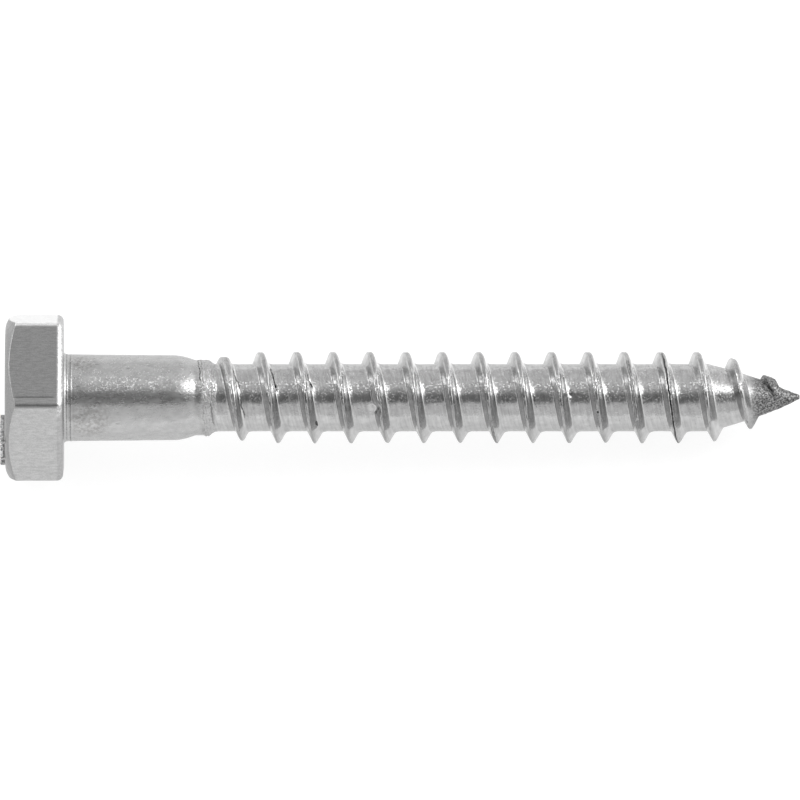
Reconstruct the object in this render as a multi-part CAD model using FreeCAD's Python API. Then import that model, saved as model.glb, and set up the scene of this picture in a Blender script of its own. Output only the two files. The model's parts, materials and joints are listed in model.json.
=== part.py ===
"""Hex head lag screw, quarter inch by two inches: one forged and thread-rolled piece of stainless steel.

It is drawn about its own axis: X runs from the bearing face under the head towards the point.
It is then laid down as it comes to rest, on a flat of its head and one crest of its thread.
Millimetres, +Z up, origin on the axis at the bearing face.
"""

import FreeCAD, Part
import math
import os

# Head
HEAD_ACROSS_FLATS = 11.1
HEAD_HEIGHT = 4.06
HEAD_CORNER_RADIUS = 0.22
HEAD_CHAMFER_ANGLE = 30.0
HEAD_CHAMFER_AT_FLATS = 0.27
BEARING_RIM_RADIUS = 0.45

# Raised bars on top of the head, their middle turned from the low side as the thread turns
MARK_COUNT = 5
MARK_WIDTH = 0.42
MARK_HEIGHT = 0.35
MARK_INNER_RADIUS = 1.9
MARK_EDGE_GAP = 0.38
MARK_SPACING_DEG = 24.0
MARK_CENTRE_DEG = 295.0

# Shank
LENGTH = 51.4
SHANK_DIAMETER = 6.05
SHANK_FILLET_RADIUS = 0.25
SHANK_LENGTH = 7.7
SHOULDER_LENGTH = 1.6
COLLAR_DIAMETER = 5.3
COLLAR_LENGTH = 0.8
COLLAR_RUNOUT_LENGTH = 0.6

# Thread
MAJOR_DIAMETER = 6.38
ROOT_DIAMETER = 4.7
PITCH = 2.54
FLANK_ANGLE = 28.0
CREST_WIDTH = 0.2
LOW_CREST_FROM_HEAD = 0.216
RUN_IN_LENGTH = 4.45
RUN_IN_START_DIAMETER = 5.2

# Point
POINT_LENGTH = 6.4
POINT_BULGE = 0.18
TIP_DIAMETER = 0.24
CREST_FADE_LENGTH = 4.1
THREAD_END_FROM_TIP = 0.6

# How finely the helical edges are drawn, and how deep the ridge is rooted in the core
STEPS_PER_TURN = 24
RIDGE_ROOTING = 0.25

# Worked out from the sizes above
HALF_FLATS = HEAD_ACROSS_FLATS / 2
CHAMFER_SLOPE = math.tan(math.radians(HEAD_CHAMFER_ANGLE))
TOP_RADIUS = HALF_FLATS - HEAD_CHAMFER_AT_FLATS / CHAMFER_SLOPE
SHANK_RADIUS = SHANK_DIAMETER / 2
COLLAR_RADIUS = COLLAR_DIAMETER / 2
ROOT_RADIUS = ROOT_DIAMETER / 2
THREAD_HEIGHT = (MAJOR_DIAMETER - ROOT_DIAMETER) / 2
TIP_RADIUS = TIP_DIAMETER / 2
SHOULDER_END = SHANK_LENGTH + SHOULDER_LENGTH
COLLAR_END = SHOULDER_END + COLLAR_LENGTH
ROOT_START = COLLAR_END + COLLAR_RUNOUT_LENGTH
POINT_START = LENGTH - POINT_LENGTH
THREAD_END = LENGTH - THREAD_END_FROM_TIP

X_AXIS = FreeCAD.Vector(1, 0, 0)
Y_AXIS = FreeCAD.Vector(0, 1, 0)
ORIGIN = FreeCAD.Vector(0, 0, 0)


def at(along, out):
    """A point of the turned profile: a distance along the axis and a radius."""
    return FreeCAD.Vector(along, 0, out)


def line(start, end):
    return Part.LineSegment(start, end).toShape()


def arc(start, middle, end):
    return Part.Arc(start, middle, end).toShape()


def shoulder_arcs():
    """Two equal arcs that lead smoothly from the shank down to the collar."""
    half_length = SHOULDER_LENGTH / 2
    half_drop = (SHANK_RADIUS - COLLAR_RADIUS) / 2
    radius = (half_length**2 + half_drop**2) / (2 * half_drop)
    half_turn = math.asin(half_length / radius) / 2
    along = radius * math.sin(half_turn)
    drop = radius * (1 - math.cos(half_turn))
    middle = at(SHANK_LENGTH + half_length, SHANK_RADIUS - half_drop)
    upper = arc(at(SHANK_LENGTH, SHANK_RADIUS), at(SHANK_LENGTH + along, SHANK_RADIUS - drop), middle)
    lower = arc(middle, at(SHOULDER_END - along, COLLAR_RADIUS + drop), at(SHOULDER_END, COLLAR_RADIUS))
    return [upper, lower]


def point_centre():
    """Centre and radius of the arc that bulges the point, in the plane of the profile."""
    half_chord = math.hypot(POINT_LENGTH, ROOT_RADIUS - TIP_RADIUS) / 2
    radius = (half_chord**2 + POINT_BULGE**2) / (2 * POINT_BULGE)
    slope = math.atan2(ROOT_RADIUS - TIP_RADIUS, POINT_LENGTH)
    inward = radius - POINT_BULGE
    along = (POINT_START + LENGTH) / 2 - inward * math.sin(slope)
    out = (ROOT_RADIUS + TIP_RADIUS) / 2 - inward * math.cos(slope)
    return along, out, radius


def core_radius(along):
    """Radius of the screw between the ridges, from the collar to the tip."""
    if along <= COLLAR_END:
        return COLLAR_RADIUS
    if along <= ROOT_START:
        share = (along - COLLAR_END) / COLLAR_RUNOUT_LENGTH
        return COLLAR_RADIUS + (ROOT_RADIUS - COLLAR_RADIUS) * share
    if along <= POINT_START:
        return ROOT_RADIUS
    centre_along, centre_out, radius = point_centre()
    return centre_out + math.sqrt(radius**2 - (along - centre_along) ** 2)


def crest_radius(along):
    """Radius of the ridge: it rises out of the collar, runs full and fades over the point."""
    if along < SHOULDER_END + RUN_IN_LENGTH:
        share = max(0.0, (along - SHOULDER_END) / RUN_IN_LENGTH)
        return (RUN_IN_START_DIAMETER + (MAJOR_DIAMETER - RUN_IN_START_DIAMETER) * share) / 2
    fade = min(1.0, (LENGTH - along) / CREST_FADE_LENGTH)
    return core_radius(along) + THREAD_HEIGHT * fade


def turned_core():
    """Shank, shoulder, collar, threaded core and point, turned in one profile."""
    inside_head = -HEAD_HEIGHT / 2
    flare = SHANK_RADIUS + SHANK_FILLET_RADIUS
    inset = SHANK_FILLET_RADIUS * (1 - math.sqrt(0.5))
    halfway = (POINT_START + LENGTH) / 2
    edges = [
        line(at(inside_head, 0), at(inside_head, flare)),
        line(at(inside_head, flare), at(0, flare)),
        arc(at(0, flare), at(inset, SHANK_RADIUS + inset), at(SHANK_FILLET_RADIUS, SHANK_RADIUS)),
        line(at(SHANK_FILLET_RADIUS, SHANK_RADIUS), at(SHANK_LENGTH, SHANK_RADIUS)),
        *shoulder_arcs(),
        line(at(SHOULDER_END, COLLAR_RADIUS), at(COLLAR_END, COLLAR_RADIUS)),
        line(at(COLLAR_END, COLLAR_RADIUS), at(ROOT_START, ROOT_RADIUS)),
        line(at(ROOT_START, ROOT_RADIUS), at(POINT_START, ROOT_RADIUS)),
        arc(at(POINT_START, ROOT_RADIUS), at(halfway, core_radius(halfway)), at(LENGTH, TIP_RADIUS)),
        line(at(LENGTH, TIP_RADIUS), at(LENGTH, 0)),
        line(at(LENGTH, 0), at(inside_head, 0)),
    ]
    return Part.Face(Part.Wire(edges)).revolve(ORIGIN, X_AXIS, 360)


def head():
    """Hexagon with rounded corners, a flat facing down, chamfered on top and eased at the bearing face."""
    corner = HALF_FLATS / math.cos(math.radians(30))
    angles = [math.radians(30 + 60 * k) for k in range(7)]
    corners = [FreeCAD.Vector(0, corner * math.sin(a), -corner * math.cos(a)) for a in angles]
    prism = Part.Face(Part.makePolygon(corners)).extrude(X_AXIS * -HEAD_HEIGHT)
    upright = [e for e in prism.Edges if e.BoundBox.XLength > HEAD_HEIGHT / 2]
    rim = [e for e in prism.Edges if e.BoundBox.Center.x > -BEARING_RIM_RADIUS / 2]
    rounded = prism.makeFillet(HEAD_CORNER_RADIUS, upright)
    eased = prism.makeFillet(BEARING_RIM_RADIUS, rim)
    top = at(-HEAD_HEIGHT, TOP_RADIUS)
    wide = at(-HEAD_HEIGHT + (corner - TOP_RADIUS) * CHAMFER_SLOPE, corner)
    profile = [at(-HEAD_HEIGHT, 0), top, wide, at(0, corner), at(0, 0), at(-HEAD_HEIGHT, 0)]
    turned = Part.Face(Part.makePolygon(profile)).revolve(ORIGIN, X_AXIS, 360)
    return rounded.common(eased).common(turned)


def raised_bar(turn):
    """One plain bar with round ends, rooted in the top of the head and pointing out from its middle."""
    side = MARK_WIDTH / 2
    inner = MARK_INNER_RADIUS + side
    outer = TOP_RADIUS - MARK_EDGE_GAP - side

    def spot(out, across):
        return FreeCAD.Vector(-HEAD_HEIGHT + MARK_HEIGHT, across, -out)

    edges = [
        arc(spot(inner, side), spot(inner - side, 0), spot(inner, -side)),
        line(spot(inner, -side), spot(outer, -side)),
        arc(spot(outer, -side), spot(outer + side, 0), spot(outer, side)),
        line(spot(outer, side), spot(inner, side)),
    ]
    bar = Part.Face(Part.Wire(edges)).extrude(X_AXIS * (-2 * MARK_HEIGHT))
    bar.rotate(ORIGIN, X_AXIS, turn)
    return bar


def head_marks():
    """A fan of plain raised bars on top of the head."""
    first = MARK_CENTRE_DEG - MARK_SPACING_DEG * (MARK_COUNT - 1) / 2
    return [raised_bar(first + MARK_SPACING_DEG * k) for k in range(MARK_COUNT)]


def helical_curve(turns, radius_at, offset_at):
    """A smooth curve that follows the thread, one unit of its parameter for each turn from the low side."""
    first, last = turns
    count = round((last - first) * STEPS_PER_TURN)
    stations = [first + (last - first) * k / count for k in range(count + 1)]
    points = []
    for turn in stations:
        crest_along = LOW_CREST_FROM_HEAD + PITCH * turn
        along = crest_along + offset_at(crest_along)
        radius = radius_at(crest_along)
        angle = 2 * math.pi * turn
        points.append(FreeCAD.Vector(along, radius * math.sin(angle), -radius * math.cos(angle)))
    curve = Part.BSplineCurve()
    curve.interpolate(Points=points, Parameters=stations)
    return curve


def ruled_strip(edge, other, first, last):
    """The surface of straight lines between two helical curves, over one stretch of turns."""
    edge, other = edge.copy(), other.copy()
    edge.segment(first, last)
    other.segment(first, last)
    rows = [list(pair) for pair in zip(edge.getPoles(), other.getPoles())]
    surface = Part.BSplineSurface()
    surface.buildFromPolesMultsKnots(
        rows, edge.getMultiplicities(), [2, 2], edge.getKnots(), [0, 1], False, False, edge.Degree, 1
    )
    return surface.toShape()


def foot_radius(along):
    return core_radius(along) * (1 - RIDGE_ROOTING)


def foot_half_width(along):
    return CREST_WIDTH / 2 + (crest_radius(along) - foot_radius(along)) * math.tan(math.radians(FLANK_ANGLE))


def thread_ridge():
    """The thread's ridge: strips between four helical curves, a turn at a time, closed at both ends."""
    turns = ((SHOULDER_END - LOW_CREST_FROM_HEAD) / PITCH, (THREAD_END - LOW_CREST_FROM_HEAD) / PITCH)
    corners = [
        helical_curve(turns, foot_radius, lambda x: -foot_half_width(x)),
        helical_curve(turns, crest_radius, lambda x: -CREST_WIDTH / 2),
        helical_curve(turns, crest_radius, lambda x: CREST_WIDTH / 2),
        helical_curve(turns, foot_radius, foot_half_width),
    ]
    cuts = [turns[0], *range(math.ceil(turns[0]), math.floor(turns[1]) + 1), turns[1]]
    faces = [
        ruled_strip(corners[k], corners[(k + 1) % 4], first, last)
        for first, last in zip(cuts, cuts[1:])
        for k in range(4)
    ]
    for turn in turns:
        ring = [curve.value(turn) for curve in corners]
        faces.append(Part.Face(Part.makePolygon(ring + ring[:1])))
    skin = Part.Compound(faces)
    skin.sewShape()
    return Part.Solid(skin.Shells[0])


def low_crests():
    """Every place along the axis where the ridge passes the low side."""
    first = math.ceil((SHOULDER_END - LOW_CREST_FROM_HEAD) / PITCH)
    last = math.floor((THREAD_END - LOW_CREST_FROM_HEAD) / PITCH)
    return [LOW_CREST_FROM_HEAD + PITCH * k for k in range(first, last + 1)]


def rest_tilt():
    """Angle by which the axis dips towards the point when the screw lies on the head's rim and a crest."""
    rim_along, rim_down = -BEARING_RIM_RADIUS, HALF_FLATS - BEARING_RIM_RADIUS
    tilts = []
    for crest in low_crests():
        along = crest + CREST_WIDTH / 2 - rim_along
        rise = rim_down - crest_radius(crest)
        tilts.append(math.atan2(rise, along) + math.asin(BEARING_RIM_RADIUS / math.hypot(along, rise)))
    return math.degrees(min(tilts))


def lag_screw():
    ridge = thread_ridge()
    if ridge.Volume < 0:
        ridge.reverse()
    screw = turned_core().fuse(ridge)
    screw = screw.fuse([head(), *head_marks()])
    screw.rotate(ORIGIN, Y_AXIS, rest_tilt())
    return screw.Solids[0]


os.makedirs("parts", exist_ok=True)
screw = lag_screw()
screw.exportStep("parts/lag_screw.step")
box = screw.optimalBoundingBox(False)
print("solids", len(screw.Solids), "valid", screw.isValid(), "volume", round(screw.Volume, 2))
print("tilt", round(rest_tilt(), 3), "floor", round(box.ZMin, 3), "length", round(box.XLength, 3))
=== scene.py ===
# %% [markdown]
# # A hex head lag screw
# A lag screw is one piece of stainless steel wire. A header upsets the hexagon on one end, and two
# grooved dies roll the coarse thread and the gimlet point into the other end.
# This lesson makes it in the same order: first the threaded body, then the head, then the steel,
# the light and the camera. Everything is drawn in millimetres about the screw's own axis and is
# laid down and brought to metres in one step at the end.

import json
import math

import bmesh
import bpy
from mathutils import Matrix, Vector, noise

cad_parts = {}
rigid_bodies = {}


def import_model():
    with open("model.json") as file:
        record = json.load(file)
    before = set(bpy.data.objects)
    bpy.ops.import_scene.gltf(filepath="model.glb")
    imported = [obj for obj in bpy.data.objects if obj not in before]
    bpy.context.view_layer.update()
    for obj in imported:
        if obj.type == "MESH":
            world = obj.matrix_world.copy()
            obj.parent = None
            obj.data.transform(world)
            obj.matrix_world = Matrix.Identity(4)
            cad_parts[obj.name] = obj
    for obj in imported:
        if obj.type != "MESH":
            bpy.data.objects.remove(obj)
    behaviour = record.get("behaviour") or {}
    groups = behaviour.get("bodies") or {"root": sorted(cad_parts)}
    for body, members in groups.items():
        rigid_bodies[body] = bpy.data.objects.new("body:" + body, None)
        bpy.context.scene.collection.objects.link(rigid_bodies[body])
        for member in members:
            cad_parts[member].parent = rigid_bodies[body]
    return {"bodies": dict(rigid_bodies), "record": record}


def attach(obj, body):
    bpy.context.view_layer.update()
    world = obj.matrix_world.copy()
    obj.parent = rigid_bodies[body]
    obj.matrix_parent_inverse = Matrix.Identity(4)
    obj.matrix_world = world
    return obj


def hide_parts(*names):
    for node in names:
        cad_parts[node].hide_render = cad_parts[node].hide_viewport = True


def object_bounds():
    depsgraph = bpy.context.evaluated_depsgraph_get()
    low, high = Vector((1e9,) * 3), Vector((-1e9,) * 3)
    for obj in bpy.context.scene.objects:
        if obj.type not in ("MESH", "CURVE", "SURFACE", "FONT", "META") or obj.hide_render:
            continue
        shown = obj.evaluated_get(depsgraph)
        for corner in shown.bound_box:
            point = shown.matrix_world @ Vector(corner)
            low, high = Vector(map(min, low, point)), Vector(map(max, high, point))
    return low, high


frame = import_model()
cad_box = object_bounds()
mounts = {mount["name"]: mount for mount in frame["record"]["mounts"]}
axis_down = Vector(mounts["bearing_face"]["axis"])
TILT = math.atan2(-axis_down.z, axis_down.x)
LAY_DOWN = Matrix.Rotation(TILT, 4, "Y") @ Matrix.Scale(0.001, 4)

# %% [markdown]
# ## Sizes
# All sizes are in millimetres. X runs along the axis from the bearing face under the head to the
# point. Angles are turned about X from the side that faces the floor, the way the thread turns,
# so that a right-hand thread climbs towards the point as the angle grows. Where a size differs on
# the two sides of the ridge, -1 is the side that faces the head and 1 the side that faces the
# point. A flank is given as millimetres along the screw for each millimetre of height.

# %% Sizes of the body
SHANK_RADIUS = mounts["shank"]["dims"]["r_mm"]
SHANK_TAPER = 0.07
FILLET = 0.25
SHOULDER = (7.75, 9.2)
SHOULDER_BEND = 1.7
COLLAR_RADIUS, COLLAR_END = 2.63, 10.12
ROOT_RADIUS, ROOT_START = 2.35, 10.6
POINT_START, LENGTH = 45.0, 51.4
TIP_RADIUS, POINT_BULGE = 0.12, 0.19
PITCH, LOW_CREST = 2.54, 0.216
THREAD_HEIGHT, HALF_CREST = 0.84, 0.12
FLANK = math.tan(math.radians(24.5))
FLANK_SIDE, FLANK_SWING = {-1: 0.42, 1: 0.50}, 0.09
YOUNG_EXTRA, YOUNG_FROM, YOUNG_OVER = 0.05, 11.4, 1.4
LAST_EXTRA, LAST_FROM, LAST_OVER = 0.10, 48.4, 0.6
RUN_IN_END, RUN_IN_RADIUS = 13.75, 2.6
FADE, FADE_OUT = 4.1, (49.5, 50.35)


def ease(share):
    """Go softly from 0 to 1."""
    share = min(1.0, max(0.0, share))
    return share * share * (3 - 2 * share)


def core_radius(along):
    """Radius of the turned form that the ridge stands on."""
    shank = SHANK_RADIUS + 0.01 - SHANK_TAPER * min(1.0, max(0.0, along / SHOULDER[0]))
    if along <= SHOULDER[1]:
        share = (along - SHOULDER[0]) / (SHOULDER[1] - SHOULDER[0])
        return shank + (COLLAR_RADIUS - shank) * max(0.0, share) ** SHOULDER_BEND
    if along <= ROOT_START:
        share = (along - COLLAR_END) / (ROOT_START - COLLAR_END)
        return COLLAR_RADIUS + (ROOT_RADIUS - COLLAR_RADIUS) * ease(share)
    share = min(1.0, max(0.0, (along - POINT_START) / (LENGTH - POINT_START)))
    return ROOT_RADIUS + (TIP_RADIUS - ROOT_RADIUS) * share + POINT_BULGE * 4 * share * (1 - share)


def ridge_height(along):
    """How far the ridge stands out: it rises out of the collar, runs full and dies out on the point."""
    if along < RUN_IN_END:
        share = max(0.0, (along - SHOULDER[1]) / (RUN_IN_END - SHOULDER[1]))
        crest = RUN_IN_RADIUS + (ROOT_RADIUS + THREAD_HEIGHT - RUN_IN_RADIUS) * share
        return max(0.0, crest - core_radius(along))
    low = min(1.0, max(0.0, (LENGTH - along) / FADE))
    return THREAD_HEIGHT * low * (1 - ease((along - FADE_OUT[0]) / (FADE_OUT[1] - FADE_OUT[0])))


def half_crest(along):
    """Half the width of the crest: it is broader where it starts and where it dies out."""
    young = YOUNG_EXTRA * (1 - ease((along - YOUNG_FROM) / YOUNG_OVER))
    return HALF_CREST + young + LAST_EXTRA * ease((along - LAST_FROM) / LAST_OVER)


print("collar radius", core_radius(9.5), "first crest at 11.2:", round(ridge_height(11.2), 3))

# %% [markdown]
# ## The threaded body
# On the real screw the ridge is squeezed up between the dies, so it is one skin with the core.
# A row of points across one pitch is enough to describe that skin. The spin operator turns the row
# once about the axis while it moves on by one pitch, which leaves a ribbon. Copies of the ribbon,
# each one pitch further on, cover the whole length, and merging their edges sews them together.
# The points are set close together at the crest and at the foot of the ridge, where the skin bends.
# Where there is no ridge, on the shank and the collar, they are spread evenly instead.

# %% Spin one turn of the ribbon and lay the turns side by side
STEPS = 120
LOW_RIDGE = 0.35
CREST_STATIONS = [0, 0.25, 0.55, 0.85, 1]
FLANK_STATIONS = [1.12, 1.35, 1.6, 1.82, 1.95]
ROOT_STATIONS = [2, 2.06, 2.16, 2.3, 2.48, 2.66, 2.84, 3]


def offset_at(station, height=THREAD_HEIGHT, half=HALF_CREST, flank=FLANK):
    """Distance from the middle of the crest: 0 to 1 is crest, 1 to 2 flank, 2 to 3 root."""
    side = abs(station)
    foot = half + height * flank
    if side <= 1:
        out = half * side
    elif side <= 2:
        out = half + (foot - half) * (side - 1)
    else:
        out = foot + (PITCH / 2 - foot) * (side - 2)
    even = PITCH / 2 * side / 3
    return math.copysign(even + (out - even) * ease(height / LOW_RIDGE), station)


half_row = CREST_STATIONS + FLANK_STATIONS + ROOT_STATIONS
row = [-s for s in reversed(half_row[1:])] + half_row
bm = bmesh.new()
station_layer = bm.verts.layers.float.new("station")
before = None
for station in row:
    v = bm.verts.new((LOW_CREST + offset_at(station), 0, -SHANK_RADIUS))
    v[station_layer] = station
    if before:
        bm.edges.new((before, v))
    before = v
bmesh.ops.spin(
    bm, geom=bm.verts[:] + bm.edges[:], cent=(0, 0, 0), axis=(1, 0, 0), dvec=(PITCH / STEPS, 0, 0),
    angle=math.tau, steps=STEPS, use_merge=False, use_duplicate=False,
)
ribbon = bm.verts[:] + bm.edges[:] + bm.faces[:]
TURNS = math.ceil(LENGTH / PITCH) + 1
for turn in range(TURNS + 1):
    copy = bmesh.ops.duplicate(bm, geom=ribbon)["geom"]
    moved = [v for v in copy if isinstance(v, bmesh.types.BMVert)]
    bmesh.ops.translate(bm, verts=moved, vec=(PITCH * (turn - 1), 0, 0))
bmesh.ops.delete(bm, geom=[v for v in ribbon if isinstance(v, bmesh.types.BMVert)], context="VERTS")
bmesh.ops.remove_doubles(bm, verts=bm.verts, dist=0.002)
print("ribbon turns", TURNS + 1, "points", len(bm.verts), "faces", len(bm.faces))

# %% [markdown]
# ## The form of the ridge
# Across one pitch the skin is a rounded crest, two straight flanks and a hollow at each foot. The
# hollow is wide on the side that faces the point, where the dies push the metal ahead of them, and
# tight on the side that faces the head.

# %% Height of the skin across one pitch
CREST_ROUND = 0.03
FOOT_ROUND = {-1: 0.05, 1: 0.12}
HOLLOW_WIDTH = {-1: 0.18, 1: 0.40}
HOLLOW_RISE = {-1: 0.02, 1: 0.09}


def soft_max(a, b, blend):
    """The larger of two numbers, with the corner between them rounded over blend."""
    near = max(0.0, blend - abs(a - b))
    return max(a, b) + near * near / (4 * blend)


def lift_at(offset, height, half, flank=FLANK, hollowness=1.0):
    """Height of the skin above the core at a distance from the middle of the crest."""
    if height <= 0:
        return 0.0
    side = 1 if offset > 0 else -1
    full = min(1.0, height / THREAD_HEIGHT)
    slope = height + (half - abs(offset)) / flank
    top = -soft_max(-slope, -height, min(half + CREST_ROUND, 0.6 * height) + 0.001)
    foot = half + height * flank
    reach = (foot + HOLLOW_WIDTH[side] - abs(offset)) / HOLLOW_WIDTH[side]
    hollow = HOLLOW_RISE[side] * full * hollowness * max(0.0, reach) ** 2
    return soft_max(top, hollow, FOOT_ROUND[side] * full + 0.001)


for offset in (0, 0.3, 0.6, 1):
    print("skin", offset, "mm off the crest:", round(lift_at(offset, THREAD_HEIGHT, HALF_CREST), 3))

# %% [markdown]
# ## Faults of rolling and handling
# A rolled screw is never perfect. Rings are left where the blank was gripped under the head, the
# collar is crinkled where the dies first bite, a seam runs along the crest where the metal from both
# sides met, and laps, pits and dents follow. Each is named with its place: millimetres from the
# head, degrees about the axis, half its length, half its width and its depth. A bite takes the ridge
# away down to its foot. A lap is given by its turn of the thread, the degrees where it starts and
# stops, its distance from the middle of the crest at both ends, and its depth.

# %% Faults of the skin
GRIP_RINGS = [(0.27, 0.05, 0.030), (0.54, 0.05, 0.024), (0.78, 0.045, 0.008)]
DENTS = {
    "pit low on a flank": (17.66, 252, 0.09, 0.26, 0.20),
    "crack by the burr": (35.40, 199, 0.06, 0.32, 0.12),
    "nick in a crest": (37.28, 224, 0.12, 0.16, 0.12),
    "nick behind": (26.4, 40, 0.3, 0.25, 0.08),
    "nick at the back": (33.1, 95, 0.25, 0.2, 0.07),
    "dent in the shank": (4.4, 60, 0.5, 0.3, 0.02),
}
ROUGH_PATCHES = {
    "burr": (35.75, 194, 0.75, 0.6, 0.07),
    "scuffed root": (36.55, 262, 0.7, 0.35, 0.04),
    "scuff behind": (29.0, 20, 0.8, 0.5, 0.04),
}
BITES = {
    "scalloped bite in a flank": (21.60, 222.5, 0.64, 0.50),
    "bite at the back": (29.9, 60, 0.4, 0.35),
}
LAPS = [
    (16, 124, 292, 0.00, 0.02, 0.055),
    (15, 150, 250, -0.07, -0.05, 0.03),
    (15, 150, 250, 0.06, 0.07, 0.04),
    (11, 230, 300, -0.05, -0.05, 0.03),
    (11, 230, 300, 0.05, 0.05, 0.03),
    (4, 155, 192, 0.33, 0.60, 0.05),
    (4, 204, 242, 0.50, 0.58, 0.04),
    (5, 148, 196, 0.48, 0.60, 0.08),
    (6, 166, 190, 0.38, 0.56, 0.08),
    (12, 200, 222, 0.70, 0.74, 0.03),
    (8, 30, 120, 0.03, 0.02, 0.05),
]
LAP_WIDTH = 0.035
COLLAR_LEAN, LEAN_TOWARDS = 0.245, 295
CRINKLED_FROM, CRINKLED_TO = (9.60, 0.15), (10.3, 0.5)
LIP_AT, LIP_WIDTH, LIP_RISE, LIP_TOWARDS = 9.92, 0.09, 0.08, 300
LUMPY_UNTIL, LUMPY_OVER = 11.8, 1.4
RAW_FROM, RAW_OVER = 47.9, 0.9


def near_place(place, along, degrees, radius):
    """1 in the middle of a named place and 0 outside it."""
    if abs(along - place[0]) > place[2]:
        return 0.0
    around = math.radians((degrees - place[1] + 180) % 360 - 180) * radius
    far = math.hypot((along - place[0]) / place[2], around / place[3])
    return ease(1.6 * (1 - far))


def surface_faults(along, degrees, radius, ridge):
    """How far the skin stands off its true place."""
    angle = math.radians(degrees)
    here = Vector((along, radius * math.sin(angle), radius * math.cos(angle)))
    off = 0.0
    for place in DENTS.values():
        off -= place[4] * near_place(place, along, degrees, radius)
    for place in ROUGH_PATCHES.values():
        inside = near_place(place, along, degrees, radius)
        if inside > 0:
            off += place[4] * inside * (noise.noise(here * 6) + 0.6 * noise.noise(here * 13))
    if along < SHOULDER[0]:
        off += sum(rise * math.exp(-((along - at) / width) ** 2) for at, width, rise in GRIP_RINGS)
    off += 0.007 * (1 - ridge) * noise.noise(here * 1.7)
    lean = along - COLLAR_LEAN * math.cos(math.radians(degrees - LEAN_TOWARDS))
    start = ease((lean - CRINKLED_FROM[0]) / CRINKLED_FROM[1])
    crinkled = start * (1 - ease((lean - CRINKLED_TO[0]) / CRINKLED_TO[1]))
    if crinkled > 0:
        stretched = Vector((lean * 6.5, here.y * 0.8, here.z * 0.8))
        off += crinkled * (0.055 * noise.noise(stretched) + 0.05 * noise.noise(here * 5))
        low_side = 0.5 + 0.5 * math.cos(math.radians(degrees - LIP_TOWARDS))
        off += LIP_RISE * low_side**2 * math.exp(-(((lean - LIP_AT) / LIP_WIDTH) ** 2))
    young = ridge * (1 - ease((along - LUMPY_UNTIL) / LUMPY_OVER))
    if young > 0:
        off += young * (0.06 * noise.noise(here * 2.2) + 0.045 * noise.noise(here * 6))
    raw = ease((along - RAW_FROM) / RAW_OVER)
    if raw > 0:
        coarse, middling, fine = (noise.noise(here * scale) for scale in (2.4, 5.5, 12))
        off += raw * (0.035 * coarse + 0.03 * middling + 0.015 * fine)
    return off


# %% [markdown]
# Each point of the ribbon knows its station across the pitch and its turn, so it can now be pressed
# into its place. The dies fill the thread less well on one side of the screw: there the crest is
# broader and rounder and the flanks are steeper. The hollows at the feet run out before the point.
# Slow noise lets the crest wander a little, and the laps are cut along the thread.

# %% Press each point into place
SEAM_WIDTH, SEAM_DEPTH = 0.03, 0.022
BROAD_SIDE, BROAD_SHARE = math.radians(115), 0.65
HOLLOW_LOSS, HOLLOW_LOSS_FROM, HOLLOW_LOSS_OVER = 0.8, 43.8, 1.2
WANDER, FINE_WANDER, SWELL, BITTEN = 0.035, 0.02, 0.03, 0.95


def skin_point(turn, station):
    """Where a point of the ribbon lies once the thread is rolled."""
    centre = LOW_CREST + PITCH * turn
    angle = math.tau * turn
    broad = math.cos(angle - BROAD_SIDE)
    height, half = ridge_height(centre), half_crest(centre) * (1 + BROAD_SHARE * broad)
    flank = FLANK_SIDE[1 if station > 0 else -1] - FLANK_SWING * broad
    offset = offset_at(station, height, half, flank)
    hollowness = 1 - HOLLOW_LOSS * ease((centre - HOLLOW_LOSS_FROM) / HOLLOW_LOSS_OVER)
    lift = lift_at(offset, height, half, flank, hollowness)
    ridge = min(1.0, lift / THREAD_HEIGHT)
    around = Vector((centre * 0.5, 3 * math.sin(angle), 3 * math.cos(angle)))
    wander = WANDER * noise.noise(around) + FINE_WANDER * noise.noise(around * 3.1)
    lift += ridge * SWELL * noise.noise(around * 0.9 + Vector((7, 0, 0)))
    if height > 0.1:
        seam = math.exp(-((offset / SEAM_WIDTH) ** 2))
        lift -= seam * SEAM_DEPTH * max(0.0, 1 + 2 * noise.noise(around * 2 + Vector((0, 9, 0))))
    degrees = math.degrees(angle) % 360
    for place in BITES.values():
        lift *= 1 - BITTEN * near_place(place, centre + offset, degrees, ROOT_RADIUS + 0.2)
    for number, start, stop, first, last, depth in LAPS:
        if math.floor(turn) == number and start < degrees < stop:
            share = (degrees - start) / (stop - start)
            middle = first + (last - first) * share
            taper = ease(5 * share) * ease(5 * (1 - share))
            lift -= depth * taper * math.exp(-(((offset - middle) / LAP_WIDTH) ** 2))
    along = centre + offset + wander * ridge
    radius = core_radius(along) + lift
    radius += surface_faults(along, degrees, radius, ridge)
    return Vector((along, radius * math.sin(angle), -radius * math.cos(angle)))


for v in bm.verts:
    turn = (v.co.x - LOW_CREST - offset_at(v[station_layer])) / PITCH
    v.co = skin_point(turn, v[station_layer])
print("pressed; widest radius", round(max(math.hypot(v.co.y, v.co.z) for v in bm.verts), 3))

# %% [markdown]
# ## The two ends of the body
# The ribbon is longer than the screw, so a plane trims it at the point and under the head. The tip
# is closed and left ragged, as the dies nip the waste off there.


# %% Trim the ends
def cut_square(along, towards_point):
    """Cut the body square to its axis, drop what lies beyond, and give the cut edges."""
    everything = bm.verts[:] + bm.edges[:] + bm.faces[:]
    way = 1 if towards_point else -1
    cut = bmesh.ops.bisect_plane(
        bm, geom=everything, dist=0.0005, plane_co=(along, 0, 0), plane_no=(way, 0, 0), clear_outer=True
    )
    return [e for e in cut["geom_cut"] if isinstance(e, bmesh.types.BMEdge)]


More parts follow.
